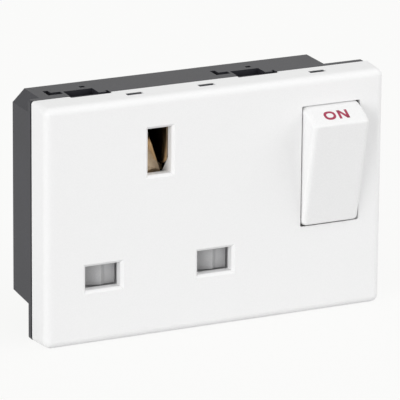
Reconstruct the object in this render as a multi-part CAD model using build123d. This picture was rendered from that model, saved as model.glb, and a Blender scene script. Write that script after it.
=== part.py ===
from build123d import *
import math
import os

# Driving dimensions, in millimetres. Depths run from the cover's face into the wall.

# Modular outline: three modules wide, two half-modules high
MODULE = 22.5
COVER_W = 3 * MODULE
COVER_H = 2 * MODULE
COVER_DEPTH = 6.1
FRONT_CORNER = 1.6
RIM_CORNER = 0.6
COVER_EDGE = 1.35
COVER_WALL = 1.3
PLATE = 2.0

# Housing: flange behind a shadow gap, then the body with its chamfered top corners
SHADOW_GAP = 0.5
FLANGE = 1.15
FLANGE_CORNER = 0.4
TOP_INSET = 0.1
FLANGE_RIGHT_INSET = 0.7
BODY_RIGHT_INSET = 2.95
BODY_DRAFT = 0.6
BODY_DEPTH = 6.95
LEFT_CHAMFER = 2.3
RIGHT_CHAMFER = 5.6
HOUSING_WALL = 1.4
REAR_PLATE = 1.5
FIT = 0.1

# Cover hooks on the housing, top and bottom, and their windows in the cover's rim
HOOK_XS = (-0.662 * MODULE, -0.029 * MODULE, 0.962 * MODULE)
HOOK_DEPTH = 3.4
HOOK_W = 3.2
HOOK_T = 1.35
HOOK_SIDE_ROOM = 0.12
HOOK_POST = 1.2
HOOK_NOSE_SUNK = 0.05
HOOK_NOSE_FLAT = 0.1

# Frame latches in the body's top wall, and the ledges that hook under the frame below
LATCH_LEFTS = (-1.302 * MODULE, 0.173 * MODULE)
LATCH_NOTCH_START = 2.9
LATCH_NOTCH_W = 8.1
LATCH_NOTCH_DEPTH = 0.75
LATCH_CHANNEL = 0.3
LATCH_TOOTH_W = 0.5
LATCH_POCKET_START = 3.3
LATCH_POCKET_W = 5.7
LATCH_TONGUE_SUNK = 0.85
LATCH_POCKET_BACK = 2.2
LATCH_POCKET_SLOT = 1.0
LATCH_SLIT = 1.0
LATCH_SLIT_FRONT = 0.95
LATCH_SLIT_LENGTH = 2.9
LATCH_SLIT_LEG = 2.8
LATCH_SLIT_LEG_T = 1.4
LATCH_HOLE_START = 7.2
LATCH_HOLE_W = 1.0
LATCH_HOLE_FRONT = 3.3
LATCH_HOLE_T = 0.9
LEDGE_XS = (-1.02 * MODULE, 0.42 * MODULE)
LEDGE_W = 6.0
LEDGE_REACH = 1.4
LEDGE_ROOT = 1.0
LEDGE_T = 1.6
FRAME_T = 2.5

# Plug pins: spacing, sections and the slots that take them
PIN_SPACING = 22.2
SLOTS_X = -MODULE / 2
PINS_Z = 1.05
PIN_W = 6.35
PIN_T = 4.0
EARTH_PIN_W = 4.0
EARTH_PIN_H = 8.0
SLOT_ROOM = 0.55
EARTH_SLOT_ROOM = 0.7
LEAD_IN = 0.5
DECK_ROOM = 0.7
EARTH_WELL_SIDE = 1.7
EARTH_GUIDE_T = 1.0
EARTH_GUIDE_TOP = 2.0
EARTH_GUIDE_LOW = 5.4
EARTH_GUIDE_BACK = 2.7

# Rocker: a drum segment on stub axles, modelled in its on position
ROCKER_X = 1.02 * MODULE
ROCKER_Z = 5.75
PIVOT_DEPTH = 2.9
ROCKER_W = 11.4
RIDGE_PROUD = 4.75
RIDGE_RISE = 8.75
LOW_RIDGE_PROUD = 0.6
ROCKER_GAP = 0.25
ROCKER_END_GAP = 0.2
OPENING_CORNER = 0.3
ROCKER_WALL = 1.4
ROCKER_REAR = 0.6
ROCKER_SIDE_EDGE = 1.0
ROCKER_RIDGE_EDGE = 0.55
AXLE_R = 0.85
AXLE_LENGTH = 1.3
AXLE_POST_T = 1.2
AXLE_POST_HALF = 2.2
SWING_ROOM = 0.35
RUNNING = 0.05

# Plunger and spring in the rocker, pressing the see-saw contact
BOSS_R = 2.6
BOSS_REACH = 6.0
BOSS_ROOT = 0.4
PLUNGER_R = 1.5
PLUNGER_LENGTH = 5.4
PLUNGER_REACH = 8.6
PLUNGER_ROOM = 0.25
SPRING_WIRE = 0.4
ROCKER_SPRING_TURNS = 7

# Switch contact: a see-saw strip on a round rib, with contact buttons
STRIP = 0.8
SEESAW_T = 0.7
SEESAW_ARM = 9.0
SEESAW_MIDDLE = 1.2
SEESAW_W = 5.0
SEESAW_LEAN = 5.0
SEESAW_TILT = 6.0
RIB_R = 0.35
RIB_SUNK = 0.25
RIB_STEM = 0.5
TIP_R = 1.5
TIP_H = 0.8
TIP_ARM = 7.2
TIP_GAP = 0.06
LINK_H = 2.5

# Shutter behind the live and neutral slots, sliding right in its carrier
SHUTTER_CLEAR = 0.9
SHUTTER_T = 2.1
SHUTTER_H = 9.6
SHUTTER_OVERLAP = 0.7
SHUTTER_WINDOW_CUT = 0.4
SHUTTER_WINDOW_ROOM = 1.4
SHUTTER_CREASE = 0.75
SHUTTER_RAMP = 1.5
SHUTTER_STEP = 0.35
SHUTTER_SLOPE = 0.8
SHUTTER_GROOVE = 1.2
SHUTTER_GROOVE_W = 0.4
SHUTTER_PAD_EDGE = 0.12
PEG_R = 0.7
PEG_LENGTH = 1.8
SHUTTER_SPRING_R = 0.95
SHUTTER_SPRING_TURNS = 6
SHUTTER_SPRING_ROOM = 10.3
CARRIER_BED = 0.2
CARRIER_GUIDE = 1.3
CARRIER_ROOM = 0.3
CARRIER_STOP = 1.2
CARRIER_PIN_ROOM = 0.4
CARRIER_END = 2.5
CARRIER_TOP = 6.6

# Pin clips and earth contact
CLIP_FRONT = 8.2
CLIP_BACK = 19.4
CLIP_W = 6.0
CLIP_GAP = 3.5
CLIP_LIP = 1.8
CLIP_FLARE = 1.2
CLIP_SPREAD = 0.3
CLIP_ROOM = 0.1
CLIP_REST_W = 4.0
CLIP_REST_H = 3.0
RISER_W = 5.0
LIVE_STRIP = 4.0
LIVE_FOLD = 3.2
EARTH_LIP = 1.2
EARTH_LIP_GAP = 0.2
EARTH_LIP_X = 2.2
EARTH_TOP_X = (-1.45, 1.8)
EARTH_LOW_X = (1.6, 1.8)
EARTH_LEAF_TOP = 4.15
EARTH_LEAF_LOW = 5.0
EARTH_CUT_LOW = 1.55
EARTH_CUT_HIGH = 4.4

# Terminals: pillar blocks with a wire bore behind and a clamp screw above
TERMINAL_W = 6.0
TERMINAL_H = 7.5
TERMINAL_LENGTH = 7.7
TERMINAL_EDGE = 0.4
WIRE_R = 2.1
WIRE_RISE = 3.4
WIRE_BORE = 7.0
WIRE_GUIDE_R = 2.9
WIRE_GUIDE_WALL = 0.9
SCREW_R = 1.7
SCREW_HEAD_R = 2.6
SCREW_HEAD_H = 1.3
SCREW_SLOT = 0.7
SCREW_BACK = 3.8
SCREW_TIP_RISE = 5.6
SCREW_ROOM = 0.3

# Rear cover: plate in the body's back, core round the terminals, screws left and tabs right
CORE_SIDE_ROOM = 1.25
CORE_SWITCH_ROOM = 0.15
CORE_TOP_ROOM = 0.8
CORE_LOW_INSET = 0.2
CORE_BACK_ROOM = 1.9
CORE_CORNER = 1.5
CORE_EDGE = 0.6
REAR_SCREW_ZS = (-8.0, 12.0)
REAR_SCREW_ROOM = 4.35
REAR_HEAD_SHARE = 0.41
REAR_SHANK_SHARE = 0.195
REAR_BOSS_SHARE = 0.48
REAR_HOLE_ROOM = 0.35
REAR_THREAD_ROOM = 0.05
REAR_SCREW_HEAD_H = 1.0
REAR_SCREW_EDGE = 0.5
REAR_SCREW_SLOT = 0.5
REAR_SCREW_END = 1.6
REAR_BORE_END = 0.8
TAB_ZS = (-8.0, 8.0)
TAB_W = 3.6
TAB_T = 0.7
TAB_REACH = 0.9
TAB_ROOT = 1.0
TAB_BACK = 0.4
TAB_ROOM = 0.2

# Derived places
FLANGE_FRONT = COVER_DEPTH + SHADOW_GAP
SEAT_DEPTH = FLANGE_FRONT + FLANGE
BODY_BACK = SEAT_DEPTH + BODY_DEPTH
BODY_LEFT = -COVER_W / 2
BODY_RIGHT = COVER_W / 2 - BODY_RIGHT_INSET
BODY_TOP = COVER_H / 2 - TOP_INSET
LIVE_X = SLOTS_X + PIN_SPACING / 2
NEUTRAL_X = SLOTS_X - PIN_SPACING / 2
LINE_ROW_Z = PINS_Z - PIN_SPACING / 2
EARTH_Z = PINS_Z + PIN_SPACING / 2
CLIP_LOW = LINE_ROW_Z - CLIP_GAP / 2 - CLIP_FLARE - STRIP
BODY_LOW_BACK = CLIP_LOW - CLIP_ROOM - HOUSING_WALL
BODY_LOW_FRONT = BODY_LOW_BACK - BODY_DRAFT
ROCKER_R = math.hypot(RIDGE_PROUD + PIVOT_DEPTH, RIDGE_RISE)
RIDGE_HIGH_ANGLE = math.degrees(math.asin((RIDGE_PROUD + PIVOT_DEPTH) / ROCKER_R))
RIDGE_LOW_ANGLE = math.degrees(math.asin((LOW_RIDGE_PROUD + PIVOT_DEPTH) / ROCKER_R))
ON_TILT = (RIDGE_HIGH_ANGLE - RIDGE_LOW_ANGLE) / 2
ROCKER_FACE = ROCKER_R * math.sin(math.radians((RIDGE_HIGH_ANGLE + RIDGE_LOW_ANGLE) / 2))
ROCKER_LEFT = ROCKER_X - ROCKER_W / 2
ROCKER_RIGHT = ROCKER_X + ROCKER_W / 2
SEESAW_DEPTH = PIVOT_DEPTH + PLUNGER_REACH + PLUNGER_ROOM
SEESAW_PIVOT_DEPTH = SEESAW_DEPTH + SEESAW_T - RIB_SUNK + RIB_R
LINK_FRONT = SEESAW_PIVOT_DEPTH + RIB_STEM
TERMINAL_FRONT = LINK_FRONT + STRIP
TERMINAL_BACK = TERMINAL_FRONT + TERMINAL_LENGTH
TERMINAL_HIGH = EARTH_Z + EARTH_LEAF_TOP
TERMINAL_LOW = TERMINAL_HIGH - TERMINAL_H
WIRE_Z = TERMINAL_LOW + WIRE_RISE
SCREW_DEPTH = TERMINAL_FRONT + SCREW_BACK
SCREW_HEAD_LOW = TERMINAL_HIGH + STRIP
SCREW_TIP_Z = TERMINAL_LOW + SCREW_TIP_RISE
TERMINAL_XS = {"neutral": NEUTRAL_X, "earth": -0.204 * MODULE, "line": 0.533 * MODULE}
SHUTTER_FRONT = PLATE + SHUTTER_CLEAR
SHUTTER_BACK = SHUTTER_FRONT + SHUTTER_T
SHUTTER_LOW = LINE_ROW_Z - SHUTTER_H / 2
SHUTTER_HIGH = LINE_ROW_Z + SHUTTER_H / 2
FLAP_W = PIN_W + SLOT_ROOM + 2 * SHUTTER_OVERLAP
SHUTTER_LEFT = NEUTRAL_X - FLAP_W / 2
SHUTTER_RIGHT = LIVE_X + FLAP_W / 2
CARRIER_FRONT = SHUTTER_BACK + CARRIER_BED
CARRIER_LEFT = SHUTTER_LEFT - CARRIER_END
CARRIER_RIGHT = SHUTTER_RIGHT + SHUTTER_SPRING_ROOM + CARRIER_STOP
EARTH_WELL_W = EARTH_PIN_W + 2 * EARTH_WELL_SIDE
EARTH_WELL_H = EARTH_PIN_H + 2 * EARTH_WELL_SIDE
CORE_LEFT = NEUTRAL_X - TERMINAL_W / 2 - CORE_SIDE_ROOM - HOUSING_WALL
CORE_RIGHT = ROCKER_X + SEESAW_W / 2 + CORE_SWITCH_ROOM + HOUSING_WALL
CORE_LOW = BODY_LOW_BACK + CORE_LOW_INSET
CORE_INSIDE_TOP = TERMINAL_HIGH + CORE_TOP_ROOM
CORE_TOP = CORE_INSIDE_TOP + HOUSING_WALL
CORE_INSIDE_BACK = TERMINAL_BACK + CORE_BACK_ROOM
CORE_BACK = CORE_INSIDE_BACK + HOUSING_WALL
REAR_SCREW_X = CORE_LEFT - REAR_SCREW_ROOM / 2


def rect(left, right, low, high):
    """Rectangle between two limits each way."""
    centre = Pos((left + right) / 2, (low + high) / 2)
    return centre * Rectangle(right - left, high - low)


def face_plane(depth):
    """Plane facing the room at a depth, drawn in X and Z."""
    return Plane(origin=(0, depth - SEAT_DEPTH, 0), x_dir=(1, 0, 0), z_dir=(0, -1, 0))


def prism(outline, front, back):
    """Solid with an outline in X and Z, between two depths."""
    return extrude(face_plane(back) * outline, amount=back - front)


def rail(outline, left, right):
    """Solid with an outline in depth and Z, between two places along X."""
    plane = Plane(origin=(left, -SEAT_DEPTH, 0), x_dir=(0, 1, 0), z_dir=(1, 0, 0))
    return extrude(plane * outline, amount=right - left)


def column(outline, low, high):
    """Solid with an outline in X and depth, between two heights."""
    plane = Plane(origin=(0, -SEAT_DEPTH, low), x_dir=(1, 0, 0), z_dir=(0, 0, 1))
    return extrude(plane * outline, amount=high - low)


def folded(points, thickness):
    """Section of a folded strip: a line of points thickened on its outer side."""
    edge = offset(Polyline(*points), thickness, kind=Kind.INTERSECTION, side=Side.LEFT)
    return make_face(edge)


def coil(length, radius, turns):
    """Spring along Z from the origin: round wire on a helix."""
    path = Helix(pitch=length / turns, height=length, radius=radius)
    section = Plane(origin=path @ 0, z_dir=path % 0) * Circle(SPRING_WIRE / 2)
    return sweep(section, path=path)


def slot_sizes():
    """Centre and size of each plug slot: earth upright, live and neutral flat."""
    line_w = PIN_W + SLOT_ROOM
    line_h = PIN_T + SLOT_ROOM
    return [
        (SLOTS_X, EARTH_Z, EARTH_PIN_W + EARTH_SLOT_ROOM, EARTH_PIN_H + EARTH_SLOT_ROOM),
        (LIVE_X, LINE_ROW_Z, line_w, line_h),
        (NEUTRAL_X, LINE_ROW_Z, line_w, line_h),
    ]


def drum(radius, left, right):
    """Cylinder about the rocker's axis."""
    return rail(Pos(PIVOT_DEPTH, ROCKER_Z) * Circle(radius), left, right)


def rocker_opening():
    """Hole in the plate for the rocker: flat sides, drum ends and rounded corners."""
    left = ROCKER_LEFT - ROCKER_GAP
    right = ROCKER_RIGHT + ROCKER_GAP
    opening = prism(rect(left, right, -COVER_H / 2, COVER_H / 2), 0, PLATE)
    opening &= drum(ROCKER_R + ROCKER_END_GAP, left, right)
    return fillet(opening.edges().filter_by(GeomType.CIRCLE), OPENING_CORNER)


def front_cover():
    """White tray: plate with slots, earth pin guide and rocker opening, and a rim with hook windows."""
    front = face_plane(0) * RectangleRounded(COVER_W, COVER_H, FRONT_CORNER)
    rim = face_plane(COVER_DEPTH) * RectangleRounded(COVER_W, COVER_H, RIM_CORNER)
    tray = loft([front, rim], ruled=True)
    tray = fillet(tray.faces().sort_by(Axis.Y)[0].edges(), COVER_EDGE)
    inside = RectangleRounded(COVER_W - 2 * COVER_WALL, COVER_H - 2 * COVER_WALL, RIM_CORNER)
    tray -= prism(inside, PLATE, COVER_DEPTH)
    for x, z, width, height in slot_sizes():
        spot = Pos(x, z)
        mouth = face_plane(0) * spot * Rectangle(width + 2 * LEAD_IN, height + 2 * LEAD_IN)
        throat = face_plane(LEAD_IN) * spot * Rectangle(width, height)
        tray -= loft([mouth, throat])
        tray -= prism(spot * Rectangle(width, height), LEAD_IN, PLATE)
    guide_low = EARTH_Z - EARTH_GUIDE_LOW
    guide = [(PLATE, EARTH_Z - EARTH_GUIDE_TOP), (PLATE, guide_low), (PLATE + EARTH_GUIDE_BACK, guide_low)]
    guide_left = SLOTS_X + (EARTH_PIN_W + EARTH_SLOT_ROOM) / 2
    tray += rail(make_face(Polyline(*guide, close=True)), guide_left, guide_left + EARTH_GUIDE_T)
    tray -= rocker_opening()
    half = COVER_H / 2
    for x in HOOK_XS:
        window = rect(x - HOOK_W / 2, x + HOOK_W / 2, HOOK_DEPTH - HOOK_T / 2, HOOK_DEPTH + HOOK_T / 2)
        tray -= column(window, half - COVER_WALL, half)
        tray -= column(window, -half, COVER_WALL - half)
    for left in LATCH_LEFTS:
        start = left + LATCH_NOTCH_START
        notch = rect(start, start + LATCH_NOTCH_W, COVER_DEPTH - LATCH_NOTCH_DEPTH, COVER_DEPTH)
        tray -= column(notch, half - COVER_WALL, half)
    return tray


def body_outline(low, inset):
    """Outline of the housing body in X and Z, with its chamfered top corners."""
    left = BODY_LEFT + inset
    right = BODY_RIGHT - inset
    top = BODY_TOP - inset
    slope = inset * (2 - math.sqrt(2))
    left_cut = LEFT_CHAMFER - slope
    right_cut = RIGHT_CHAMFER - slope
    corners = [
        (left, low + inset),
        (left, top - left_cut),
        (left + left_cut, top),
        (right - right_cut, top),
        (right, top - right_cut),
        (right, low + inset),
    ]
    return make_face(Polyline(*corners, close=True))


def hook_section():
    """Section of a cover hook in depth and Z: a post with a wedge nose on top."""
    post_top = COVER_H / 2 - COVER_WALL - FIT
    post_low = post_top - HOOK_POST
    nose_top = COVER_H / 2 - HOOK_NOSE_SUNK
    nose_front = HOOK_DEPTH - HOOK_T / 2 + FIT
    nose_back = HOOK_DEPTH + HOOK_T / 2 - FIT
    points = [
        (FLANGE_FRONT, post_low),
        (nose_front, post_low),
        (nose_front, post_top),
        (nose_back - HOOK_NOSE_FLAT, nose_top),
        (nose_back, nose_top),
        (nose_back, post_top),
        (FLANGE_FRONT, post_top),
    ]
    return make_face(Polyline(*points, close=True))


def latch_cuts(left):
    """Cuts round one frame latch in the top wall: sunk tongue, slots before and behind it, slit and hole."""
    notch_left = left + LATCH_NOTCH_START
    notch_right = notch_left + LATCH_NOTCH_W
    pocket_left = left + LATCH_POCKET_START
    pocket_right = pocket_left + LATCH_POCKET_W
    pocket_back = SEAT_DEPTH + LATCH_POCKET_BACK
    slit_front = SEAT_DEPTH + LATCH_SLIT_FRONT
    hole_left = left + LATCH_HOLE_START
    hole_front = SEAT_DEPTH + LATCH_HOLE_FRONT

    tongue = rect(pocket_left, pocket_right, FLANGE_FRONT, pocket_back)
    through = rect(notch_left, notch_right, FLANGE_FRONT, FLANGE_FRONT + LATCH_CHANNEL)
    through += rect(notch_right - LATCH_TOOTH_W, notch_right, FLANGE_FRONT, SEAT_DEPTH - FIT)
    through += rect(pocket_left, pocket_right, pocket_back - LATCH_POCKET_SLOT, pocket_back)
    through += rect(left, left + LATCH_SLIT, slit_front, slit_front + LATCH_SLIT_LENGTH)
    through += rect(left, left + LATCH_SLIT_LEG, slit_front, slit_front + LATCH_SLIT_LEG_T)
    through += rect(hole_left, hole_left + LATCH_HOLE_W, hole_front, hole_front + LATCH_HOLE_T)
    cuts = column(tongue, BODY_TOP - LATCH_TONGUE_SUNK, COVER_H / 2)
    cuts += column(through, BODY_TOP - HOUSING_WALL, COVER_H / 2)
    return cuts


def deck_holes():
    """Holes through the flange's deck for the plug pins, the earth contact and the rocker."""
    holes = Pos(SLOTS_X, EARTH_Z) * Rectangle(EARTH_WELL_W, EARTH_WELL_H)
    for x in (LIVE_X, NEUTRAL_X):
        holes += Pos(x, LINE_ROW_Z) * Rectangle(PIN_W + 2 * DECK_ROOM, PIN_T + 2 * DECK_ROOM)
    reach = ROCKER_R + SWING_ROOM
    holes += rect(ROCKER_LEFT - SWING_ROOM, ROCKER_RIGHT + SWING_ROOM, ROCKER_Z - reach, ROCKER_Z + reach)
    return prism(holes, FLANGE_FRONT, SEAT_DEPTH)


def axle_posts():
    """Two posts beside the rocker, each with an open bearing for a stub axle."""
    bearing = AXLE_R + RUNNING
    post = rect(PLATE + FIT, FLANGE_FRONT, ROCKER_Z - AXLE_POST_HALF, ROCKER_Z + AXLE_POST_HALF)
    post -= Pos(PIVOT_DEPTH, ROCKER_Z) * Circle(bearing)
    post -= rect(0, PIVOT_DEPTH, ROCKER_Z - bearing, ROCKER_Z + bearing)
    left = rail(post, ROCKER_LEFT - SWING_ROOM - AXLE_POST_T, ROCKER_LEFT - SWING_ROOM)
    right = rail(post, ROCKER_RIGHT + SWING_ROOM, ROCKER_RIGHT + SWING_ROOM + AXLE_POST_T)
    return left + right


def housing():
    """Dark moulding: flange and deck, open-backed body, cover hooks, axle posts and latches."""
    flange = rect(BODY_LEFT, COVER_W / 2 - FLANGE_RIGHT_INSET, -COVER_H / 2, BODY_TOP)
    flange = fillet(flange.vertices(), FLANGE_CORNER)
    moulding = prism(flange, FLANGE_FRONT, SEAT_DEPTH)
    outer_front = face_plane(SEAT_DEPTH) * body_outline(BODY_LOW_FRONT, 0)
    outer_back = face_plane(BODY_BACK) * body_outline(BODY_LOW_BACK, 0)
    moulding += loft([outer_front, outer_back], ruled=True)
    moulding -= prism(body_outline(BODY_LOW_BACK, HOUSING_WALL), SEAT_DEPTH, BODY_BACK)
    moulding -= deck_holes()

    side = HOOK_W / 2 - HOOK_SIDE_ROOM
    for x in HOOK_XS:
        hook = rail(hook_section(), x - side, x + side)
        moulding += hook
        moulding += mirror(hook, Plane.XY)
    moulding += axle_posts()

    plate_front = BODY_BACK - REAR_PLATE
    shank = REAR_SCREW_ROOM * REAR_SHANK_SHARE
    for z in REAR_SCREW_ZS:
        spot = Pos(REAR_SCREW_X, z)
        moulding += prism(spot * Circle(REAR_SCREW_ROOM * REAR_BOSS_SHARE), SEAT_DEPTH, plate_front)
        moulding -= prism(spot * Circle(shank + REAR_THREAD_ROOM), SEAT_DEPTH + REAR_BORE_END, plate_front)
    tab_front = BODY_BACK - TAB_BACK - TAB_T
    tab_half = TAB_W / 2 + TAB_ROOM
    for z in TAB_ZS:
        slot = rect(BODY_RIGHT - HOUSING_WALL, BODY_RIGHT, z - tab_half, z + tab_half)
        moulding -= prism(slot, tab_front - FIT, BODY_BACK - TAB_BACK + FIT)
    for left in LATCH_LEFTS:
        moulding -= latch_cuts(left)
    ledge_front = SEAT_DEPTH + FRAME_T
    for x in LEDGE_XS:
        low = BODY_LOW_FRONT - LEDGE_REACH
        ledge = rect(x - LEDGE_W / 2, x + LEDGE_W / 2, low, BODY_LOW_FRONT + LEDGE_ROOT)
        moulding += prism(ledge, ledge_front, ledge_front + LEDGE_T)
    return moulding


def rear_cover():
    """Dark moulding: plate in the body's open back, with the deep core for contacts and terminals."""
    plate_front = BODY_BACK - REAR_PLATE
    moulding = prism(body_outline(BODY_LOW_BACK, HOUSING_WALL + FIT), plate_front, BODY_BACK)
    core_centre = Pos((CORE_LEFT + CORE_RIGHT) / 2, (CORE_LOW + CORE_TOP) / 2)
    core_w = CORE_RIGHT - CORE_LEFT
    core_h = CORE_TOP - CORE_LOW
    wall = 2 * HOUSING_WALL
    moulding += prism(core_centre * RectangleRounded(core_w, core_h, CORE_CORNER), BODY_BACK, CORE_BACK)
    moulding = chamfer(moulding.faces().sort_by(Axis.Y)[-1].edges(), CORE_EDGE)
    hollow = core_centre * Rectangle(core_w - wall, core_h - wall)
    moulding -= prism(hollow, plate_front, CORE_INSIDE_BACK)
    for x in (LIVE_X, NEUTRAL_X):
        rest = Pos(x, LINE_ROW_Z) * Rectangle(CLIP_REST_W, CLIP_REST_H)
        moulding += prism(rest, CLIP_BACK, CORE_INSIDE_BACK)
    for x in TERMINAL_XS.values():
        spot = Pos(x, WIRE_Z)
        moulding += prism(spot * Circle(WIRE_GUIDE_R + WIRE_GUIDE_WALL), TERMINAL_BACK, CORE_INSIDE_BACK)
        moulding -= prism(spot * Circle(WIRE_GUIDE_R), TERMINAL_BACK, CORE_BACK)
        well = Pos(x, SCREW_DEPTH) * Circle(SCREW_HEAD_R + SCREW_ROOM)
        moulding -= column(well, CORE_INSIDE_TOP, CORE_TOP)
    hole_r = REAR_SCREW_ROOM * REAR_SHANK_SHARE + REAR_HOLE_ROOM
    for z in REAR_SCREW_ZS:
        moulding -= prism(Pos(REAR_SCREW_X, z) * Circle(hole_r), plate_front, BODY_BACK)
    wall_inside = BODY_RIGHT - HOUSING_WALL
    for z in TAB_ZS:
        tab = rect(wall_inside - TAB_ROOT, wall_inside + TAB_REACH, z - TAB_W / 2, z + TAB_W / 2)
        moulding += prism(tab, BODY_BACK - TAB_BACK - TAB_T, BODY_BACK - TAB_BACK)
    return moulding


def rear_screws():
    """Two round-headed screws that hold the rear cover to the body."""
    head_r = REAR_SCREW_ROOM * REAR_HEAD_SHARE
    head_back = BODY_BACK + REAR_SCREW_HEAD_H
    screws = []
    for z in REAR_SCREW_ZS:
        spot = Pos(REAR_SCREW_X, z)
        shank = spot * Circle(REAR_SCREW_ROOM * REAR_SHANK_SHARE)
        screw = prism(shank, SEAT_DEPTH + REAR_SCREW_END, BODY_BACK)
        screw += prism(spot * Circle(head_r), BODY_BACK, head_back)
        screw = fillet(screw.faces().sort_by(Axis.Y)[-1].edges(), REAR_SCREW_EDGE)
        slot = spot * Rectangle(2 * head_r, REAR_SCREW_SLOT)
        screw -= prism(slot, head_back - REAR_SCREW_SLOT, head_back)
        screws.append(screw)
    return Compound(children=screws)


def on_rocker(solid):
    """Turn a piece made upright about the rocker's axis into the on position."""
    axis = Axis((0, PIVOT_DEPTH - SEAT_DEPTH, ROCKER_Z), (1, 0, 0))
    return solid.rotate(axis, ON_TILT)


def rocker_section(inset):
    """Drum segment between the flat face and the open back, in depth and Z."""
    segment = Circle(ROCKER_R - inset) & rect(inset - ROCKER_FACE, ROCKER_REAR, -ROCKER_R, ROCKER_R)
    return Pos(PIVOT_DEPTH, ROCKER_Z) * segment


def rocker():
    """White rocker: hollow drum segment with rounded edges, stub axles and a plunger boss."""
    shell = rail(rocker_section(0), ROCKER_LEFT, ROCKER_RIGHT)
    ridges = shell.edges().filter_by(Axis.X).sort_by(Axis.Y)[:2]
    shell = fillet(ridges, ROCKER_RIDGE_EDGE)
    back = shell.faces().sort_by(Axis.Y)[-1]
    sides = shell.faces().filter_by(Axis.X)
    rounded = [edge for edge in sides.edges() if edge.center().Y < back.center().Y - RUNNING]
    shell = fillet(rounded, ROCKER_SIDE_EDGE)
    shell -= rail(rocker_section(ROCKER_WALL), ROCKER_LEFT + ROCKER_WALL, ROCKER_RIGHT - ROCKER_WALL)
    centre = Pos(ROCKER_X, ROCKER_Z)
    face_inside = PIVOT_DEPTH - ROCKER_FACE + ROCKER_WALL
    shell += prism(centre * Circle(BOSS_R), face_inside - BOSS_ROOT, PIVOT_DEPTH + BOSS_REACH)
    shell -= prism(centre * Circle(PLUNGER_R + RUNNING), face_inside, PIVOT_DEPTH + BOSS_REACH)
    for left in (ROCKER_LEFT - AXLE_LENGTH, ROCKER_RIGHT - ROCKER_WALL):
        shell += drum(AXLE_R, left, left + AXLE_LENGTH + ROCKER_WALL)
    return on_rocker(shell)


def rocker_plunger():
    """Round-nosed plunger in the rocker's boss."""
    shaft_end = PLUNGER_REACH - PLUNGER_R
    start = PLUNGER_REACH - PLUNGER_LENGTH
    half_section = make_face(
        [
            Line((0, start), (PLUNGER_R, start)),
            Line((PLUNGER_R, start), (PLUNGER_R, shaft_end)),
            CenterArc((0, shaft_end), PLUNGER_R, 0, 90),
            Line((0, PLUNGER_REACH), (0, start)),
        ]
    )
    plunger = revolve(half_section, Axis.Y)
    placed = Pos(ROCKER_X, PIVOT_DEPTH - SEAT_DEPTH, ROCKER_Z) * plunger
    return on_rocker(placed)


def rocker_spring():
    """Coil spring between the rocker's face and the plunger."""
    start = ROCKER_WALL - ROCKER_FACE + SPRING_WIRE / 2
    stop = PLUNGER_REACH - PLUNGER_LENGTH - SPRING_WIRE / 2
    spring = Rot(X=-90) * coil(stop - start, PLUNGER_R - SPRING_WIRE, ROCKER_SPRING_TURNS)
    placed = Pos(ROCKER_X, PIVOT_DEPTH - SEAT_DEPTH + start, ROCKER_Z) * spring
    return on_rocker(placed)


def on_seesaw(solid):
    """Tilt a piece made upright about the rib's axis into the closed position."""
    axis = Axis((0, SEESAW_PIVOT_DEPTH - SEAT_DEPTH, ROCKER_Z), (1, 0, 0))
    return solid.rotate(axis, -SEESAW_TILT)


def moving_contact():
    """See-saw strip with a trough over the rib, its arms bent towards the plunger."""
    section = rect(0, SEESAW_T, -SEESAW_MIDDLE / 2, SEESAW_MIDDLE / 2)
    section += Rot(Z=SEESAW_LEAN) * rect(0, SEESAW_T, 0, SEESAW_ARM)
    section += Rot(Z=-SEESAW_LEAN) * rect(0, SEESAW_T, -SEESAW_ARM, 0)
    section -= Pos(SEESAW_PIVOT_DEPTH - SEESAW_DEPTH, 0) * Circle(RIB_R + RUNNING)
    strip = rail(Pos(SEESAW_DEPTH, ROCKER_Z) * section, ROCKER_X - SEESAW_W / 2, ROCKER_X + SEESAW_W / 2)
    return on_seesaw(strip)


def moving_contact_tip():
    """Contact button on the upper arm of the see-saw."""
    button = Pos(ROCKER_X, SEESAW_T, TIP_ARM) * Rot(X=-90) * Cylinder(
        TIP_R, TIP_H, align=(Align.CENTER, Align.CENTER, Align.MIN)
    )
    leaned = button.rotate(Axis.X, SEESAW_LEAN)
    placed = Pos(0, SEESAW_DEPTH - SEAT_DEPTH, ROCKER_Z) * leaned
    return on_seesaw(placed)


def tip_meeting_depth():
    """Depth just behind the moving button in the closed position."""
    return moving_contact_tip().bounding_box().max.Y + SEAT_DEPTH + TIP_GAP


def fixed_contact_tip():
    """Contact button on the live strip's end, facing the moving one."""
    meeting = tip_meeting_depth()
    return prism(Pos(ROCKER_X, ROCKER_Z + TIP_ARM) * Circle(TIP_R), meeting, meeting + TIP_H)


def clip_section():
    """Section of a pin clip in depth and Z: two leaves with flared lips and a web behind."""
    inside = CLIP_GAP / 2
    web = CLIP_BACK - STRIP
    points = [
        (CLIP_FRONT, inside + CLIP_FLARE),
        (CLIP_FRONT + CLIP_LIP, inside),
        (web, inside + CLIP_SPREAD),
        (web, -inside - CLIP_SPREAD),
        (CLIP_FRONT + CLIP_LIP, -inside),
        (CLIP_FRONT, -inside - CLIP_FLARE),
    ]
    return Pos(0, LINE_ROW_Z) * folded(points, STRIP)


def pin_clip(x):
    """Clip for one flat pin."""
    return rail(clip_section(), x - CLIP_W / 2, x + CLIP_W / 2)


def neutral_contact():
    """Clip with a riser to the seat of the neutral terminal."""
    left = NEUTRAL_X - RISER_W / 2
    right = NEUTRAL_X + RISER_W / 2
    contact = pin_clip(NEUTRAL_X)
    contact += prism(rect(left, right, LINE_ROW_Z, TERMINAL_LOW), CLIP_BACK - STRIP, CLIP_BACK)
    contact += column(rect(left, right, TERMINAL_FRONT, CLIP_BACK), TERMINAL_LOW - STRIP, TERMINAL_LOW)
    return contact


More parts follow.
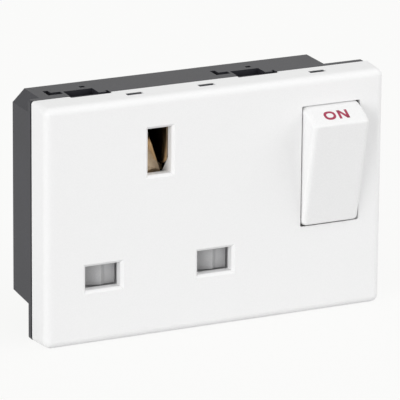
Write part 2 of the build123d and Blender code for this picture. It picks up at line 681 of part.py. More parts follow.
def live_contact():
    """Clip with a strip round to the fixed end of the switch."""
    web = CLIP_BACK - STRIP
    half = LIVE_STRIP / 2
    arm_front = tip_meeting_depth() + TIP_H
    arm_low = ROCKER_Z + TIP_ARM - half
    arm_top = ROCKER_Z + TIP_ARM + LIVE_FOLD
    left = ROCKER_X - half
    right = ROCKER_X + half
    contact = pin_clip(LIVE_X)
    contact += prism(rect(LIVE_X, right, LINE_ROW_Z - half, LINE_ROW_Z + half), web, CLIP_BACK)
    contact += prism(rect(left, right, LINE_ROW_Z - half, arm_top), web, CLIP_BACK)
    contact += column(rect(left, right, arm_front, CLIP_BACK), arm_top - STRIP, arm_top)
    contact += prism(rect(left, right, arm_low, arm_top), arm_front, arm_front + STRIP)
    return contact


def line_link():
    """Strip from the line terminal to the round rib that the see-saw rocks on."""
    low = ROCKER_Z - LINK_H / 2
    lug_left = TERMINAL_XS["line"] - TERMINAL_W / 2
    right = ROCKER_X + SEESAW_W / 2
    link = prism(rect(lug_left, right, low, low + LINK_H), LINK_FRONT, TERMINAL_FRONT)
    link += prism(rect(lug_left, lug_left + TERMINAL_W, low, TERMINAL_HIGH), LINK_FRONT, TERMINAL_FRONT)
    rib = rect(SEESAW_PIVOT_DEPTH, LINK_FRONT, ROCKER_Z - RIB_R, ROCKER_Z + RIB_R)
    rib += Pos(SEESAW_PIVOT_DEPTH, ROCKER_Z) * Circle(RIB_R)
    link += rail(rib, right - SEESAW_W, right)
    return link


def earth_leaf(side, top_x, low_x):
    """One leaf of the earth contact: closing downwards, with its lip flared to the slot's edge."""
    top = TERMINAL_HIGH
    low = EARTH_Z - EARTH_LEAF_LOW
    lip_front = PLATE + EARTH_LIP_GAP
    root = lip_front + EARTH_LIP

    def band(high_x, bottom_x, depth):
        outer = side * STRIP
        points = [(high_x, top), (bottom_x, low), (bottom_x + outer, low), (high_x + outer, top)]
        return face_plane(depth) * make_face(Polyline(*points, close=True))

    leaf_top = SLOTS_X + top_x
    leaf_low = SLOTS_X + low_x
    lip_x = SLOTS_X + side * EARTH_LIP_X
    lip = loft([band(lip_x, lip_x, lip_front), band(leaf_top, leaf_low, root)], ruled=True)
    leaf = loft([band(leaf_top, leaf_low, root), band(leaf_top, leaf_low, CORE_INSIDE_BACK)], ruled=True)
    return lip + leaf


def earth_contact():
    """Folded earth contact: two leaves under a top web that runs on over the earth terminal."""
    left_top, right_top = EARTH_TOP_X
    left_low, right_low = EARTH_LOW_X
    contact = earth_leaf(-1, left_top, left_low) + earth_leaf(1, right_top, right_low)
    low = EARTH_Z - EARTH_LEAF_LOW
    near = SLOTS_X + right_low
    far = SLOTS_X + EARTH_LIP_X + STRIP
    corner = [(near, low), (near, low + EARTH_CUT_LOW), (far, low + EARTH_CUT_HIGH), (far, low)]
    cut_back = PLATE + EARTH_GUIDE_BACK + EARTH_LIP_GAP
    contact -= prism(make_face(Polyline(*corner, close=True)), PLATE, cut_back)
    web_left = SLOTS_X + left_top - STRIP
    web_right = SLOTS_X + right_top + STRIP
    terminal_x = TERMINAL_XS["earth"]
    web = rect(web_left, web_right, SEAT_DEPTH, CORE_INSIDE_BACK)
    tail = rect(SLOTS_X, terminal_x + TERMINAL_W / 2, TERMINAL_FRONT, TERMINAL_BACK)
    tail -= Pos(terminal_x, SCREW_DEPTH) * Circle(SCREW_R + RUNNING)
    contact += column(web + tail, TERMINAL_HIGH, TERMINAL_HIGH + STRIP)
    return contact


def terminal(x):
    """Brass pillar block with a wire bore from behind and a threaded hole from above."""
    outline = rect(x - TERMINAL_W / 2, x + TERMINAL_W / 2, TERMINAL_LOW, TERMINAL_HIGH)
    block = prism(outline, TERMINAL_FRONT, TERMINAL_BACK)
    block = chamfer(block.edges().filter_by(Axis.Y), TERMINAL_EDGE)
    block -= prism(Pos(x, WIRE_Z) * Circle(WIRE_R), TERMINAL_BACK - WIRE_BORE, TERMINAL_BACK)
    block -= column(Pos(x, SCREW_DEPTH) * Circle(SCREW_R + RUNNING / 2), WIRE_Z, TERMINAL_HIGH)
    return block


def terminal_screws():
    """Three slotted clamp screws over the terminals."""
    head_top = SCREW_HEAD_LOW + SCREW_HEAD_H
    screws = []
    for x in TERMINAL_XS.values():
        spot = Pos(x, SCREW_DEPTH)
        screw = column(spot * Circle(SCREW_R), SCREW_TIP_Z, SCREW_HEAD_LOW)
        screw += column(spot * Circle(SCREW_HEAD_R), SCREW_HEAD_LOW, head_top)
        screw -= column(spot * Rectangle(2 * SCREW_HEAD_R, SCREW_SLOT), head_top - SCREW_SLOT, head_top)
        screws.append(screw)
    return Compound(children=screws)


def shutter():
    """Grey slide: two flaps with pin ramps and grooves round them, a window between, and a spring peg."""
    slide = prism(rect(SHUTTER_LEFT, SHUTTER_RIGHT, SHUTTER_LOW, SHUTTER_HIGH), SHUTTER_FRONT, SHUTTER_BACK)
    half_h = PIN_T / 2 + SHUTTER_WINDOW_ROOM
    low = LINE_ROW_Z - half_h
    high = LINE_ROW_Z + half_h
    window_right = LIVE_X - FLAP_W / 2
    window = rect(window_right - FLAP_W + SHUTTER_WINDOW_CUT, window_right, low, high)
    slide -= prism(window, SHUTTER_FRONT, SHUTTER_BACK)
    front = SHUTTER_FRONT
    groove_back = front + SHUTTER_GROOVE
    step_back = front + SHUTTER_STEP
    for x, z, width, height in slot_sizes()[1:]:
        start = x - FLAP_W / 2
        stop = x + FLAP_W / 2
        crease = x + SHUTTER_CREASE
        wedge = [(start, front), (crease, front), (start, front + SHUTTER_RAMP)]
        slope = [(crease, front), (stop, front), (stop, step_back), (crease + SHUTTER_SLOPE, step_back)]
        slide -= column(make_face(Polyline(*wedge, close=True)), low, high)
        slide -= column(make_face(Polyline(*slope, close=True)), low, high)
        side = x + width / 2 + SHUTTER_PAD_EDGE
        pad_low = z - height / 2 - SHUTTER_PAD_EDGE
        slide -= prism(rect(start, side, low, pad_low), front, groove_back)
        slide -= prism(rect(side, side + SHUTTER_GROOVE_W, low, high), front, groove_back)
    middle = (SHUTTER_FRONT + SHUTTER_BACK) / 2
    slide += rail(Pos(middle, LINE_ROW_Z) * Circle(PEG_R), SHUTTER_RIGHT, SHUTTER_RIGHT + PEG_LENGTH)
    return slide


def shutter_spring():
    """Coil spring that pushes the shutter back over the slots."""
    start = SHUTTER_RIGHT + SPRING_WIRE / 2
    stop = CARRIER_RIGHT - CARRIER_STOP - SPRING_WIRE / 2
    middle = (SHUTTER_FRONT + SHUTTER_BACK) / 2
    spring = Rot(Y=90) * coil(stop - start, SHUTTER_SPRING_R, SHUTTER_SPRING_TURNS)
    return Pos(start, middle - SEAT_DEPTH, LINE_ROW_Z) * spring


def shutter_carrier():
    """Grey tray on the deck: guides the shutter and stops its spring, with holes for the pins."""
    low = SHUTTER_LOW - CARRIER_ROOM - CARRIER_GUIDE
    high = SHUTTER_HIGH + CARRIER_ROOM + CARRIER_GUIDE
    bed = rect(CARRIER_LEFT, CARRIER_RIGHT, low, EARTH_Z + CARRIER_TOP)
    for x, z, width, height in slot_sizes():
        bed -= Pos(x, z) * Rectangle(width + 2 * CARRIER_PIN_ROOM, height + 2 * CARRIER_PIN_ROOM)
    bed -= Pos(SLOTS_X, EARTH_Z) * Rectangle(EARTH_WELL_W, EARTH_WELL_H)
    guides = rect(CARRIER_LEFT, CARRIER_RIGHT, low, low + CARRIER_GUIDE)
    guides += rect(CARRIER_LEFT, CARRIER_RIGHT, high - CARRIER_GUIDE, high)
    guides += rect(CARRIER_RIGHT - CARRIER_STOP, CARRIER_RIGHT, low, high)
    return prism(bed, CARRIER_FRONT, FLANGE_FRONT) + prism(guides, PLATE + FIT, CARRIER_FRONT)


pieces = {
    "front_cover": front_cover(),
    "housing": housing(),
    "rear_cover": rear_cover(),
    "rear_screws": rear_screws(),
    "rocker": rocker(),
    "rocker_plunger": rocker_plunger(),
    "rocker_spring": rocker_spring(),
    "moving_contact": moving_contact(),
    "moving_contact_tip": moving_contact_tip(),
    "fixed_contact_tip": fixed_contact_tip(),
    "line_link": line_link(),
    "live_contact": live_contact(),
    "neutral_contact": neutral_contact(),
    "earth_contact": earth_contact(),
    "line_terminal": terminal(TERMINAL_XS["line"]),
    "neutral_terminal": terminal(TERMINAL_XS["neutral"]),
    "earth_terminal": terminal(TERMINAL_XS["earth"]),
    "terminal_screws": terminal_screws(),
    "shutter": shutter(),
    "shutter_spring": shutter_spring(),
    "shutter_carrier": shutter_carrier(),
}

os.makedirs("parts", exist_ok=True)
for name, piece in pieces.items():
    export_step(piece, f"parts/{name}.step")
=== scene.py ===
import math
import bpy
import numpy as np
from mathutils import Matrix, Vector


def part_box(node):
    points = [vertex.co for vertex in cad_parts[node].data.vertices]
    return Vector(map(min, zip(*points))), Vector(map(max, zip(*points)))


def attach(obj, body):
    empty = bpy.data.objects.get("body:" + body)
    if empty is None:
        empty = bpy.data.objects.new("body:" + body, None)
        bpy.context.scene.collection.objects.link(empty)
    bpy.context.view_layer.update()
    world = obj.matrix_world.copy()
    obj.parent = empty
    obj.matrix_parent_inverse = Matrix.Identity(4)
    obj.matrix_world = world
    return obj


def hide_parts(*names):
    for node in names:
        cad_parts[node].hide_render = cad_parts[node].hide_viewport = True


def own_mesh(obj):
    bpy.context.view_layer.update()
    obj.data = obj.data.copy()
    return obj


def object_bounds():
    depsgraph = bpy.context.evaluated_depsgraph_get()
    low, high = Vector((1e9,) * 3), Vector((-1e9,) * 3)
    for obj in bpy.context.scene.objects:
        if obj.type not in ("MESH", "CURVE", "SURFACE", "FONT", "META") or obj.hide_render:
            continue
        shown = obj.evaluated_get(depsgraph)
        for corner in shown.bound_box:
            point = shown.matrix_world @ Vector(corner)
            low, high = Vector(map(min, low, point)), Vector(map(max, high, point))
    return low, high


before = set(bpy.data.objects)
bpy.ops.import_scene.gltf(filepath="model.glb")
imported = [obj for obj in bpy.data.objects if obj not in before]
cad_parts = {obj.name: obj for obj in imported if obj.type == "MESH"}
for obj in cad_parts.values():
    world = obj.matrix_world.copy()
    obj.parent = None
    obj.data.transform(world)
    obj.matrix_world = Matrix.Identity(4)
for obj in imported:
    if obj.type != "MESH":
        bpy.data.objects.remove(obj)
cad_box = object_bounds()


# Housing: the dark moulding behind the cover, with the flange, the body and the two frame latches.
# Glass-filled nylon, injection moulded in a spark-eroded tool, so it is matt with a fine grain.
# The rear cover closes it from behind and is moulded in the same plastic.
MM = 0.001


def linear(hex_colour):
    """sRGB hex colour as linear red, green, blue and a full alpha."""
    srgb = np.array([int(hex_colour[i:i + 2], 16) for i in (1, 3, 5)]) / 255
    curve = np.where(srgb <= 0.04045, srgb / 12.92, ((srgb + 0.055) / 1.055) ** 2.4)
    return (*curve.tolist(), 1.0)


def per_metre(size_mm):
    """Scale of a noise whose blobs are a size in millimetres across."""
    return 1 / (size_mm * MM)


def new_material(name):
    """Material with an empty node tree, and that tree."""
    material = bpy.data.materials.new(name)
    material.use_nodes = True
    material.node_tree.nodes.clear()
    return material, material.node_tree


def add(tree, kind, links=None, stops=(), **settings):
    """New node in a tree: settings fill its options or its sockets, and stops its colour ramp.

    Links join the sockets of other nodes to its own.
    """
    node = tree.nodes.new(kind)
    for name, value in settings.items():
        if hasattr(node, name):
            setattr(node, name, value)
        else:
            node.inputs[name.replace("_", " ")].default_value = value
    for index, (position, hex_colour) in enumerate(stops):
        node.color_ramp.elements[index].position = position
        node.color_ramp.elements[index].color = linear(hex_colour)
    for name, source in (links or {}).items():
        tree.links.new(source, node.inputs[name])
    return node


def dress(names, material):
    """Puts a material on CAD nodes."""
    for name in names:
        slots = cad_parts[name].data.materials
        slots.clear()
        slots.append(material)


# Glass-filled nylon: the grain breaks up the gloss, and flow in the mould leaves faint cloudy patches.
# The real grain is a few hundredths of a millimetre, too fine to show, so it is drawn coarser.
GRAIN_MM = 0.22
GRAIN_DEPTH = 0.02 * MM
FLOW_MM = 9.0
NYLON_TINTS = ((0.3, "#27272C"), (0.7, "#2B2B31"))
nylon_dark, tree = new_material("glass_filled_nylon_dark")
place = add(tree, "ShaderNodeTexCoord").outputs["Object"]
grain = add(tree, "ShaderNodeTexNoise", {"Vector": place}, Scale=per_metre(GRAIN_MM), Detail=3.0)
flow = add(tree, "ShaderNodeTexNoise", {"Vector": place}, Scale=per_metre(FLOW_MM), Detail=2.0)
tint = add(tree, "ShaderNodeValToRGB", {"Fac": flow.outputs["Fac"]}, stops=NYLON_TINTS)
matt = add(tree, "ShaderNodeMapRange", {"Value": grain.outputs["Fac"]}, To_Min=0.4, To_Max=0.52)
bump = add(tree, "ShaderNodeBump", {"Height": grain.outputs["Fac"]}, Strength=0.25, Distance=GRAIN_DEPTH)
surface = add(tree, "ShaderNodeBsdfPrincipled", {
    "Base Color": tint.outputs["Color"],
    "Roughness": matt.outputs["Result"],
    "Normal": bump.outputs["Normal"],
}, IOR=1.41)
add(tree, "ShaderNodeOutputMaterial", {"Surface": surface.outputs["BSDF"]})
dress(["housing", "rear_cover"], nylon_dark)


# Terminals, contacts and the link: brass, rolled to strip and folded, or drawn to bar and sawn.
# They stand in the housing's pockets; the earth contact's lips show in the earth slot.

# Brass strip: fine rolling lines along the strip, and a brownish tarnish in soft patches.
# The real lines are finer than a hair and would not show, so they are drawn wider.
ROLL_LINE_MM = 0.12
ROLL_DEPTH = 0.01 * MM
BRASS_STRETCH = (1.0, 0.3, 0.04)
TARNISH_MM = 3.0
BRASS_TINTS = ((0.35, "#B8A58C"), (0.7, "#CFBDA4"))
brass, tree = new_material("rolled_brass")
place = add(tree, "ShaderNodeTexCoord").outputs["Object"]
along = add(tree, "ShaderNodeMapping", {"Vector": place}, Scale=BRASS_STRETCH).outputs["Vector"]
lines = add(tree, "ShaderNodeTexNoise", {"Vector": along}, Scale=per_metre(ROLL_LINE_MM), Detail=2.0)
patches = add(tree, "ShaderNodeTexNoise", {"Vector": place}, Scale=per_metre(TARNISH_MM), Detail=3.0)
tint = add(tree, "ShaderNodeValToRGB", {"Fac": patches.outputs["Fac"]}, stops=BRASS_TINTS)
matt = add(tree, "ShaderNodeMapRange", {"Value": lines.outputs["Fac"]}, To_Min=0.16, To_Max=0.26)
bump = add(tree, "ShaderNodeBump", {"Height": lines.outputs["Fac"]}, Strength=0.2, Distance=ROLL_DEPTH)
surface = add(tree, "ShaderNodeBsdfPrincipled", {
    "Base Color": tint.outputs["Color"],
    "Roughness": matt.outputs["Result"],
    "Normal": bump.outputs["Normal"],
}, Metallic=1.0)
add(tree, "ShaderNodeOutputMaterial", {"Surface": surface.outputs["BSDF"]})
dress(["line_link", "live_contact", "neutral_contact", "earth_contact"], brass)
dress(["line_terminal", "neutral_terminal", "earth_terminal"], brass)


# Terminal screws and rear screws: steel, cold headed, with sawn slots and a bright zinc plate.
# The clamp screws sit in the terminals' threads, the rear screws in the housing's bosses.

# Zinc plate: a bright, slightly bluish grey with faint cloudy crystals, drawn larger than real to show.
CRYSTAL_MM = 0.4
ZINC_TINTS = ((0.0, "#C4C7CA"), (1.0, "#B4B7BC"))
zinc, tree = new_material("zinc_plated_steel")
place = add(tree, "ShaderNodeTexCoord").outputs["Object"]
crystals = add(tree, "ShaderNodeTexVoronoi", {"Vector": place}, Scale=per_metre(CRYSTAL_MM))
tint = add(tree, "ShaderNodeValToRGB", {"Fac": crystals.outputs["Distance"]}, stops=ZINC_TINTS)
matt = add(tree, "ShaderNodeMapRange", {"Value": crystals.outputs["Distance"]}, To_Min=0.28, To_Max=0.4)
surface = add(tree, "ShaderNodeBsdfPrincipled", {
    "Base Color": tint.outputs["Color"],
    "Roughness": matt.outputs["Result"],
}, Metallic=1.0)
add(tree, "ShaderNodeOutputMaterial", {"Surface": surface.outputs["BSDF"]})
dress(["terminal_screws", "rear_screws"], zinc)


# Switch contact: a see-saw strip of copper on the link's round rib, with riveted silver buttons.
# The strip is stamped and bent, the buttons are cold headed.

# Copper strip: warm and brushed by rolling, with darker oxide in patches.
COPPER_STRETCH = (1.0, 1.0, 0.04)
COPPER_TINTS = ((0.35, "#A8694A"), (0.7, "#CF8E6C"))
copper, tree = new_material("rolled_copper")
place = add(tree, "ShaderNodeTexCoord").outputs["Object"]
along = add(tree, "ShaderNodeMapping", {"Vector": place}, Scale=COPPER_STRETCH).outputs["Vector"]
lines = add(tree, "ShaderNodeTexNoise", {"Vector": along}, Scale=per_metre(ROLL_LINE_MM), Detail=2.0)
patches = add(tree, "ShaderNodeTexNoise", {"Vector": place}, Scale=per_metre(TARNISH_MM), Detail=3.0)
tint = add(tree, "ShaderNodeValToRGB", {"Fac": patches.outputs["Fac"]}, stops=COPPER_TINTS)
matt = add(tree, "ShaderNodeMapRange", {"Value": lines.outputs["Fac"]}, To_Min=0.22, To_Max=0.4)
surface = add(tree, "ShaderNodeBsdfPrincipled", {
    "Base Color": tint.outputs["Color"],
    "Roughness": matt.outputs["Result"],
}, Metallic=1.0)
add(tree, "ShaderNodeOutputMaterial", {"Surface": surface.outputs["BSDF"]})
dress(["moving_contact"], copper)

# Silver: bright and nearly white, with a fine pitting where the contacts have met, drawn coarser to show.
PIT_MM = 0.15
PIT_DEPTH = 0.02 * MM
SILVER_TINTS = ((0.3, "#A9A7A2"), (0.6, "#DEDCD6"))
silver, tree = new_material("contact_silver")
place = add(tree, "ShaderNodeTexCoord").outputs["Object"]
pits = add(tree, "ShaderNodeTexNoise", {"Vector": place}, Scale=per_metre(PIT_MM), Detail=4.0)
tint = add(tree, "ShaderNodeValToRGB", {"Fac": pits.outputs["Fac"]}, stops=SILVER_TINTS)
bump = add(tree, "ShaderNodeBump", {"Height": pits.outputs["Fac"]}, Strength=0.3, Distance=PIT_DEPTH)
surface = add(tree, "ShaderNodeBsdfPrincipled", {
    "Base Color": tint.outputs["Color"],
    "Normal": bump.outputs["Normal"],
}, Metallic=1.0, Roughness=0.3)
add(tree, "ShaderNodeOutputMaterial", {"Surface": surface.outputs["BSDF"]})
dress(["moving_contact_tip", "fixed_contact_tip"], silver)


# Shutter and its carrier: grey plastic behind the live and neutral slots.
# Acetal, moulded, matt and self-lubricating, so it slides without grease.

# Acetal: an even grey with a soft, waxy sheen and a very fine grain, drawn coarser than real to show.
ACETAL_GRAIN_MM = 0.18
ACETAL_DEPTH = 0.01 * MM
ACETAL_TINTS = ((0.3, "#BFBFC0"), (0.7, "#C9C9CA"))
acetal, tree = new_material("grey_acetal")
place = add(tree, "ShaderNodeTexCoord").outputs["Object"]
grain = add(tree, "ShaderNodeTexNoise", {"Vector": place}, Scale=per_metre(ACETAL_GRAIN_MM), Detail=3.0)
tint = add(tree, "ShaderNodeValToRGB", {"Fac": grain.outputs["Fac"]}, stops=ACETAL_TINTS)
bump = add(tree, "ShaderNodeBump", {"Height": grain.outputs["Fac"]}, Strength=0.2, Distance=ACETAL_DEPTH)
surface = add(tree, "ShaderNodeBsdfPrincipled", {
    "Base Color": tint.outputs["Color"],
    "Normal": bump.outputs["Normal"],
}, Roughness=0.5, IOR=1.48)
add(tree, "ShaderNodeOutputMaterial", {"Surface": surface.outputs["BSDF"]})
dress(["shutter", "shutter_carrier"], acetal)


# Springs: the shutter's return spring and the one behind the rocker's plunger.
# Drawn spring steel wire, coiled cold, with the end turns closed so that each stands square.
# They stand between two faces; the real ones shorten as the shutter or the plunger moves, and here they are
# drawn at one length.

# Drawn wire: mid grey and fairly bright, with scratches from the die, drawn wider than real to show.
DIE_SCRATCH_MM = 0.08
WIRE_TINTS = ((0.0, "#8E9093"), (1.0, "#B6B8BB"))
wire, tree = new_material("drawn_spring_wire")
place = add(tree, "ShaderNodeTexCoord").outputs["Object"]
scratches = add(tree, "ShaderNodeTexNoise", {"Vector": place}, Scale=per_metre(DIE_SCRATCH_MM), Detail=2.0)
tint = add(tree, "ShaderNodeValToRGB", {"Fac": scratches.outputs["Fac"]}, stops=WIRE_TINTS)
matt = add(tree, "ShaderNodeMapRange", {"Value": scratches.outputs["Fac"]}, To_Min=0.22, To_Max=0.4)
surface = add(tree, "ShaderNodeBsdfPrincipled", {
    "Base Color": tint.outputs["Color"],
    "Roughness": matt.outputs["Result"],
}, Metallic=1.0)
add(tree, "ShaderNodeOutputMaterial", {"Surface": surface.outputs["BSDF"]})

WIRE_R = 0.2 * MM
WIRE_SIDES = 10
TURN_POINTS = 24
END_TURNS = 0.75


def tube_faces(rings, sides, joined):
    """Quads from each ring of points to the next, and two end faces unless the last joins the first."""
    ring = np.arange(rings if joined else rings - 1)[:, None] * sides
    beyond = (ring + sides) % (rings * sides)
    a = np.arange(sides)
    b = (a + 1) % sides
    quads = np.stack([ring + a, ring + b, beyond + b, beyond + a], axis=-1).reshape(-1, 4).tolist()
    if joined:
        return quads
    last = (rings - 1) * sides
    return quads + [a[::-1].tolist(), (last + a).tolist()]


def new_object(name, data):
    """Object at the origin, linked into the scene."""
    thing = bpy.data.objects.new(name, data)
    bpy.context.collection.objects.link(thing)
    return thing


def coil_spring(name, start, stop, radius, turns):
    """Round wire carried along a helix, which turns about the axis as it rises from start to stop.

    The end turns rise by one wire's thickness a turn, and the turns between share the rest.
    """
    length = np.linalg.norm(stop - start)
    axis = (stop - start) / length
    closed = WIRE_R + END_TURNS * 2 * WIRE_R
    turn = np.linspace(0.0, turns, turns * TURN_POINTS + 1)
    knots = [0.0, END_TURNS, turns - END_TURNS, turns]
    rise = np.interp(turn, knots, [WIRE_R, closed, length - closed, length - WIRE_R])
    angle = 2 * math.pi * turn[:, None]
    side = np.cross(axis, (0.0, 0.0, 1.0))
    side /= np.linalg.norm(side)
    out = np.cos(angle) * side + np.sin(angle) * np.cross(axis, side)
    path = start + rise[:, None] * axis + radius * out
    along = np.gradient(path, axis=0)
    along /= np.linalg.norm(along, axis=1, keepdims=True)
    across = np.cross(along, out)
    about = np.linspace(0.0, 2 * math.pi, WIRE_SIDES, endpoint=False)[:, None]
    rings = path[:, None] + WIRE_R * (np.cos(about) * out[:, None] + np.sin(about) * across[:, None])
    faces = tube_faces(len(path), WIRE_SIDES, joined=False)
    round_faces = np.ones(len(faces), dtype=bool)
    round_faces[-2:] = False
    mesh = bpy.data.meshes.new(name)
    mesh.from_pydata(rings.reshape(-1, 3).tolist(), [], faces)
    mesh.polygons.foreach_set("use_smooth", round_faces)
    mesh.materials.append(wire)
    spring = new_object(name, mesh)
    return spring


# The shutter's spring lies along the shutter's path, and its right end stands against the carrier.
SHUTTER_COIL_R = 0.95 * MM
SHUTTER_COIL_TURNS = 6
low, high = (np.array(corner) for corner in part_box("shutter_spring"))
middle = (low + high) / 2
shutter_end = np.array([low[0], middle[1], middle[2]])
fixed_end = np.array([high[0], middle[1], middle[2]])
shutter_coil = coil_spring("shutter_coil", shutter_end, fixed_end, SHUTTER_COIL_R, SHUTTER_COIL_TURNS)
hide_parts("shutter_spring")
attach(shutter_coil, "base")
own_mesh(shutter_coil)

# The plunger's spring lies on the line through the rocker's axle that leans with the rocker.
# Its span is measured on that line from the axle, inwards to the plunger and outwards to the rocker's face.
PLUNGER_COIL_R = 1.1 * MM
PLUNGER_COIL_TURNS = 7
PLUNGER_COIL_SPAN = np.array([-4.29, 3.19]) * MM
ROCKER_AXLE = np.array([22.95, -4.85, 5.75]) * MM
ROCKER_LEAN = math.radians(11.819)
inward = np.array([0.0, math.cos(ROCKER_LEAN), math.sin(ROCKER_LEAN)])
face_end, plunger_end = ROCKER_AXLE + PLUNGER_COIL_SPAN[:, None] * inward
plunger_coil = coil_spring("plunger_coil", plunger_end, face_end, PLUNGER_COIL_R, PLUNGER_COIL_TURNS)
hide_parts("rocker_spring")
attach(plunger_coil, "rocker_body")
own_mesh(plunger_coil)


# Rocker plunger: a round-nosed pin in the rocker's boss that rides on the see-saw contact.
# Natural nylon, moulded, off-white and slightly waxy.

# Natural nylon: creamy and soft in its gloss, with faint clouding.
CLOUD_MM = 1.2
PALE_NYLON_TINTS = ((0.0, "#DDD8C9"), (1.0, "#E8E4D8"))
nylon_pale, tree = new_material("natural_nylon")
place = add(tree, "ShaderNodeTexCoord").outputs["Object"]
clouds = add(tree, "ShaderNodeTexNoise", {"Vector": place}, Scale=per_metre(CLOUD_MM), Detail=2.0)
tint = add(tree, "ShaderNodeValToRGB", {"Fac": clouds.outputs["Fac"]}, stops=PALE_NYLON_TINTS)
surface = add(tree, "ShaderNodeBsdfPrincipled", {
    "Base Color": tint.outputs["Color"],
}, Roughness=0.4, IOR=1.53)
add(tree, "ShaderNodeOutputMaterial", {"Surface": surface.outputs["BSDF"]})
dress(["rocker_plunger"], nylon_pale)


# Rocker: the white switch key, a hollow drum segment on two stub axles, shown in its on position.
# Urea-formaldehyde, pressed in a finely blasted tool, so its gloss is satin; the edges are softly rounded.

# White urea: dense white with a satin gloss; pressing leaves a faint orange-peel in the shine.
# The filler's flecks are too fine to show, so they are drawn a little coarser than real.
PEEL_MM = 1.6
PEEL_DEPTH = 0.02 * MM
FLECK_MM = 0.3


def white_urea(name, low_colour, high_colour):
    """White pressed plastic: two close whites in fine flecks, and orange-peel waves in the gloss."""
    material, tree = new_material(name)
    place = add(tree, "ShaderNodeTexCoord").outputs["Object"]
    flecks = add(tree, "ShaderNodeTexNoise", {"Vector": place}, Scale=per_metre(FLECK_MM), Detail=3.0)
    peel = add(tree, "ShaderNodeTexNoise", {"Vector": place}, Scale=per_metre(PEEL_MM), Detail=1.0)
    tints = ((0.35, low_colour), (0.65, high_colour))
    tint = add(tree, "ShaderNodeValToRGB", {"Fac": flecks.outputs["Fac"]}, stops=tints)
    matt = add(tree, "ShaderNodeMapRange", {"Value": flecks.outputs["Fac"]}, To_Min=0.46, To_Max=0.56)
    bump = add(tree, "ShaderNodeBump", {"Height": peel.outputs["Fac"]}, Strength=0.08, Distance=PEEL_DEPTH)
    surface = add(tree, "ShaderNodeBsdfPrincipled", {
        "Base Color": tint.outputs["Color"],
        "Roughness": matt.outputs["Result"],
        "Normal": bump.outputs["Normal"],
    }, IOR=1.5)
    add(tree, "ShaderNodeOutputMaterial", {"Surface": surface.outputs["BSDF"]})
    return material


dress(["rocker"], white_urea("white_urea_rocker", "#ECECEC", "#EFEFEF"))


# Front cover: the white tray that is seen on the wall, with the plug slots and the rocker's opening.
# Urea-formaldehyde, pressed in a finely blasted tool; its rim clips over the housing's hooks.
dress(["front_cover"], white_urea("white_urea_cover", "#EEEEEE", "#F0F0F0"))


# Marking: the word ON across the rocker's upper end face.
# Red ink, pad printed on the curved face, a few hundredths of a millimetre thick.
# The face is part of a drum about the rocker's axle, with the rocker's ridge on its rim.
RIDGE_OUT = 7.65 * MM
RIDGE_UP = 8.75 * MM
FACE_R = math.hypot(RIDGE_OUT, RIDGE_UP)
WORD_X = 22.47 * MM
WORD_ANGLE = math.radians(29.8)
LETTER_H = 2.1 * MM
O_W = 2.35 * MM
N_W = 2.03 * MM
LETTER_GAP = 0.5 * MM
STROKE = 0.48 * MM
DIAGONAL_STROKE = 1.25 * STROKE
INK = 0.02 * MM
ROUNDNESS = 2.3
RING_POINTS = 72
STROKE_POINTS = 13


def on_end_face(across, up, lift):
    """Points on the drum: across runs along the rocker's axis, up along the arc, lift out from it."""
    angle = WORD_ANGLE - up / FACE_R
    radius = FACE_R + lift
    x = WORD_X + across
    y = ROCKER_AXLE[1] - radius * np.sin(angle)
    z = ROCKER_AXLE[2] + radius * np.cos(angle)
    return np.stack([x, y, z], axis=-1)


def superellipse(half_w, half_h, turn):
    """Outline with |x/w| and |y/h| to a power adding up to one, at angles round it."""
    power = 2 / ROUNDNESS
    across = half_w * np.sign(np.cos(turn)) * np.abs(np.cos(turn)) ** power
    up = half_h * np.sign(np.sin(turn)) * np.abs(np.sin(turn)) ** power
    return np.stack([across, up], axis=-1)


def ribbon(left, right, joined):
    """Band of ink between two lines of points on the drum: a square tube, with ends unless it is a ring."""
    corners = [(left, 0.0), (left, INK), (right, INK), (right, 0.0)]
    points = np.stack([on_end_face(line[:, 0], line[:, 1], lift) for line, lift in corners], axis=1)
    return points.reshape(-1, 3), tube_faces(len(left), len(corners), joined)


def stroke(low_x, high_x, width):
    """Straight stroke from the foot line to the cap line, as wide as given along the foot line."""
    share = np.linspace(0.0, 1.0, STROKE_POINTS)
    middle = low_x + (high_x - low_x) * share
    up = (share - 0.5) * LETTER_H
    left = np.stack([middle - width / 2, up], axis=-1)
    right = np.stack([middle + width / 2, up], axis=-1)
    return ribbon(left, right, joined=False)


def word_mesh():
    """The two letters: O is a ring between two superellipses, N three straight strokes."""
    turn = np.linspace(0.0, 2 * math.pi, RING_POINTS, endpoint=False)
    half_word = (O_W + LETTER_GAP + N_W) / 2
    o_middle = np.array([O_W / 2 - half_word, 0.0])
    n_left = half_word - N_W + STROKE / 2
    n_right = half_word - STROKE / 2
    outer = o_middle + superellipse(O_W / 2, LETTER_H / 2, turn)
    inner = o_middle + superellipse(O_W / 2 - STROKE, LETTER_H / 2 - STROKE, turn)
    bands = [
        ribbon(inner, outer, joined=True),
        stroke(n_left, n_left, STROKE),
        stroke(n_right, n_right, STROKE),
        stroke(n_right, n_left, DIAGONAL_STROKE),
    ]
    points = []
    faces = []
    for band_points, band_faces in bands:
        start = sum(len(earlier) for earlier in points)
        points.append(band_points)
        faces.append(start + np.array(band_faces))
    mesh = bpy.data.meshes.new("on_marking")
    mesh.from_pydata(np.concatenate(points).tolist(), [], np.concatenate(faces).tolist())
    return mesh


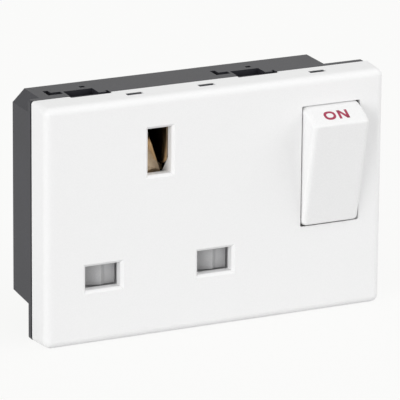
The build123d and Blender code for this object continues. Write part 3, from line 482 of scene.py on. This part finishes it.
# Printing ink: a soft red, thin enough that the white shows through in a fine mottle.
MOTTLE_MM = 0.25
INK_TINTS = ((0.3, "#9A2747"), (0.7, "#A83352"))
ink, tree = new_material("red_printing_ink")
place = add(tree, "ShaderNodeTexCoord").outputs["Object"]
mottle = add(tree, "ShaderNodeTexNoise", {"Vector": place}, Scale=per_metre(MOTTLE_MM), Detail=3.0)
tint = add(tree, "ShaderNodeValToRGB", {"Fac": mottle.outputs["Fac"]}, stops=INK_TINTS)
surface = add(tree, "ShaderNodeBsdfPrincipled", {
    "Base Color": tint.outputs["Color"],
}, Roughness=0.45, IOR=1.5)
add(tree, "ShaderNodeOutputMaterial", {"Surface": surface.outputs["BSDF"]})
marking = new_object("on_marking", word_mesh())
marking.data.materials.append(ink)
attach(marking, "rocker_body")


# Studio: a pale paper floor under the object and an even surround, both seen white.
# A large lamp at the left gives the main light, and a weaker one at the right fills the shade.
FLOOR_REACH = 3.0
floor_height = cad_box[0][2]
corners = [(-1, -1), (1, -1), (1, 1), (-1, 1)]
points = [(x * FLOOR_REACH, y * FLOOR_REACH, floor_height) for x, y in corners]
floor_mesh = bpy.data.meshes.new("floor")
floor_mesh.from_pydata(points, [], [(0, 1, 2, 3)])
floor = new_object("floor", floor_mesh)


def shown_rays(tree):
    """One for rays from the eye, in a mirror or through glass, and nought for the light's other rays."""
    paths = add(tree, "ShaderNodeLightPath").outputs
    seen = add(tree, "ShaderNodeMath", {
        0: paths["Is Camera Ray"],
        1: paths["Is Glossy Ray"],
    }, operation="MAXIMUM")
    shown = add(tree, "ShaderNodeMath", {
        0: seen.outputs["Value"],
        1: paths["Is Transmission Ray"],
    }, operation="MAXIMUM")
    return shown.outputs["Value"]


# Pale paper: seen white, with a faint shadow; its own grey keeps the light from below down.
FLOOR_GLOW = 0.9
paper, tree = new_material("pale_paper")
matt_grey = add(tree, "ShaderNodeBsdfPrincipled", Base_Color=linear("#DADADA"), Roughness=0.9)
glow = add(tree, "ShaderNodeEmission", Color=linear("#FEFEFD"), Strength=1.0)
share = add(tree, "ShaderNodeMapRange", {"Value": shown_rays(tree)}, To_Min=0.0, To_Max=FLOOR_GLOW)
mixed = add(tree, "ShaderNodeMixShader", {
    0: share.outputs["Result"],
    1: matt_grey.outputs["BSDF"],
    2: glow.outputs["Emission"],
})
add(tree, "ShaderNodeOutputMaterial", {"Surface": mixed.outputs["Shader"]})
floor_mesh.materials.append(paper)

# Surround: even white light from all sides, brighter where it is seen.
AMBIENT = 0.643
world = bpy.data.worlds.new("surround")
bpy.context.scene.world = world
world.use_nodes = True
tree = world.node_tree
tree.nodes.clear()
ambient = add(tree, "ShaderNodeBackground", Color=linear("#FFFFFF"), Strength=AMBIENT)
seen = add(tree, "ShaderNodeBackground", Color=linear("#FBFBF9"), Strength=1.0)
mixed = add(tree, "ShaderNodeMixShader", {
    0: shown_rays(tree),
    1: ambient.outputs["Background"],
    2: seen.outputs["Background"],
})
add(tree, "ShaderNodeOutputWorld", {"Surface": mixed.outputs["Shader"]})


def soft_lamp(name, watts, size, place):
    """Square area lamp at a place in metres, turned to the object."""
    data = bpy.data.lights.new(name, "AREA")
    data.shape = "SQUARE"
    data.size = size
    data.energy = watts
    lamp = new_object(name, data)
    lamp.location = place
    lamp.rotation_euler = (-lamp.location).to_track_quat("-Z", "Y").to_euler()


soft_lamp("key", watts=41.8, size=1.8, place=(-2.217, -1.28, 0.451))
soft_lamp("fill", watts=24.3, size=1.8, place=(1.844, -1.065, 1.491))


# Camera: fitted to the plug slots and the cover's corners in the photograph.
YAW = math.radians(25.476)
PITCH = math.radians(17.46)
ROLL = math.radians(0.505)
EYE = np.array([-325.65, -684.18, 237.73]) * MM
LENS_MM = 391.64
SENSOR_MM = 36.0
forward = np.array([math.sin(YAW) * math.cos(PITCH), math.cos(YAW) * math.cos(PITCH), -math.sin(PITCH)])
right = np.array([math.cos(YAW), -math.sin(YAW), 0.0])
up = np.cross(right, forward)
camera_x = math.cos(ROLL) * right + math.sin(ROLL) * up
camera_y = math.cos(ROLL) * up - math.sin(ROLL) * right
camera_data = bpy.data.cameras.new("camera")
camera_data.sensor_width = SENSOR_MM
camera_data.lens = LENS_MM
camera = new_object("camera", camera_data)
turned = np.column_stack([camera_x, camera_y, -forward, EYE])
camera.matrix_world = Matrix([*turned.tolist(), (0.0, 0.0, 0.0, 1.0)])
bpy.context.scene.camera = camera
bpy.context.scene.view_settings.view_transform = "Standard"
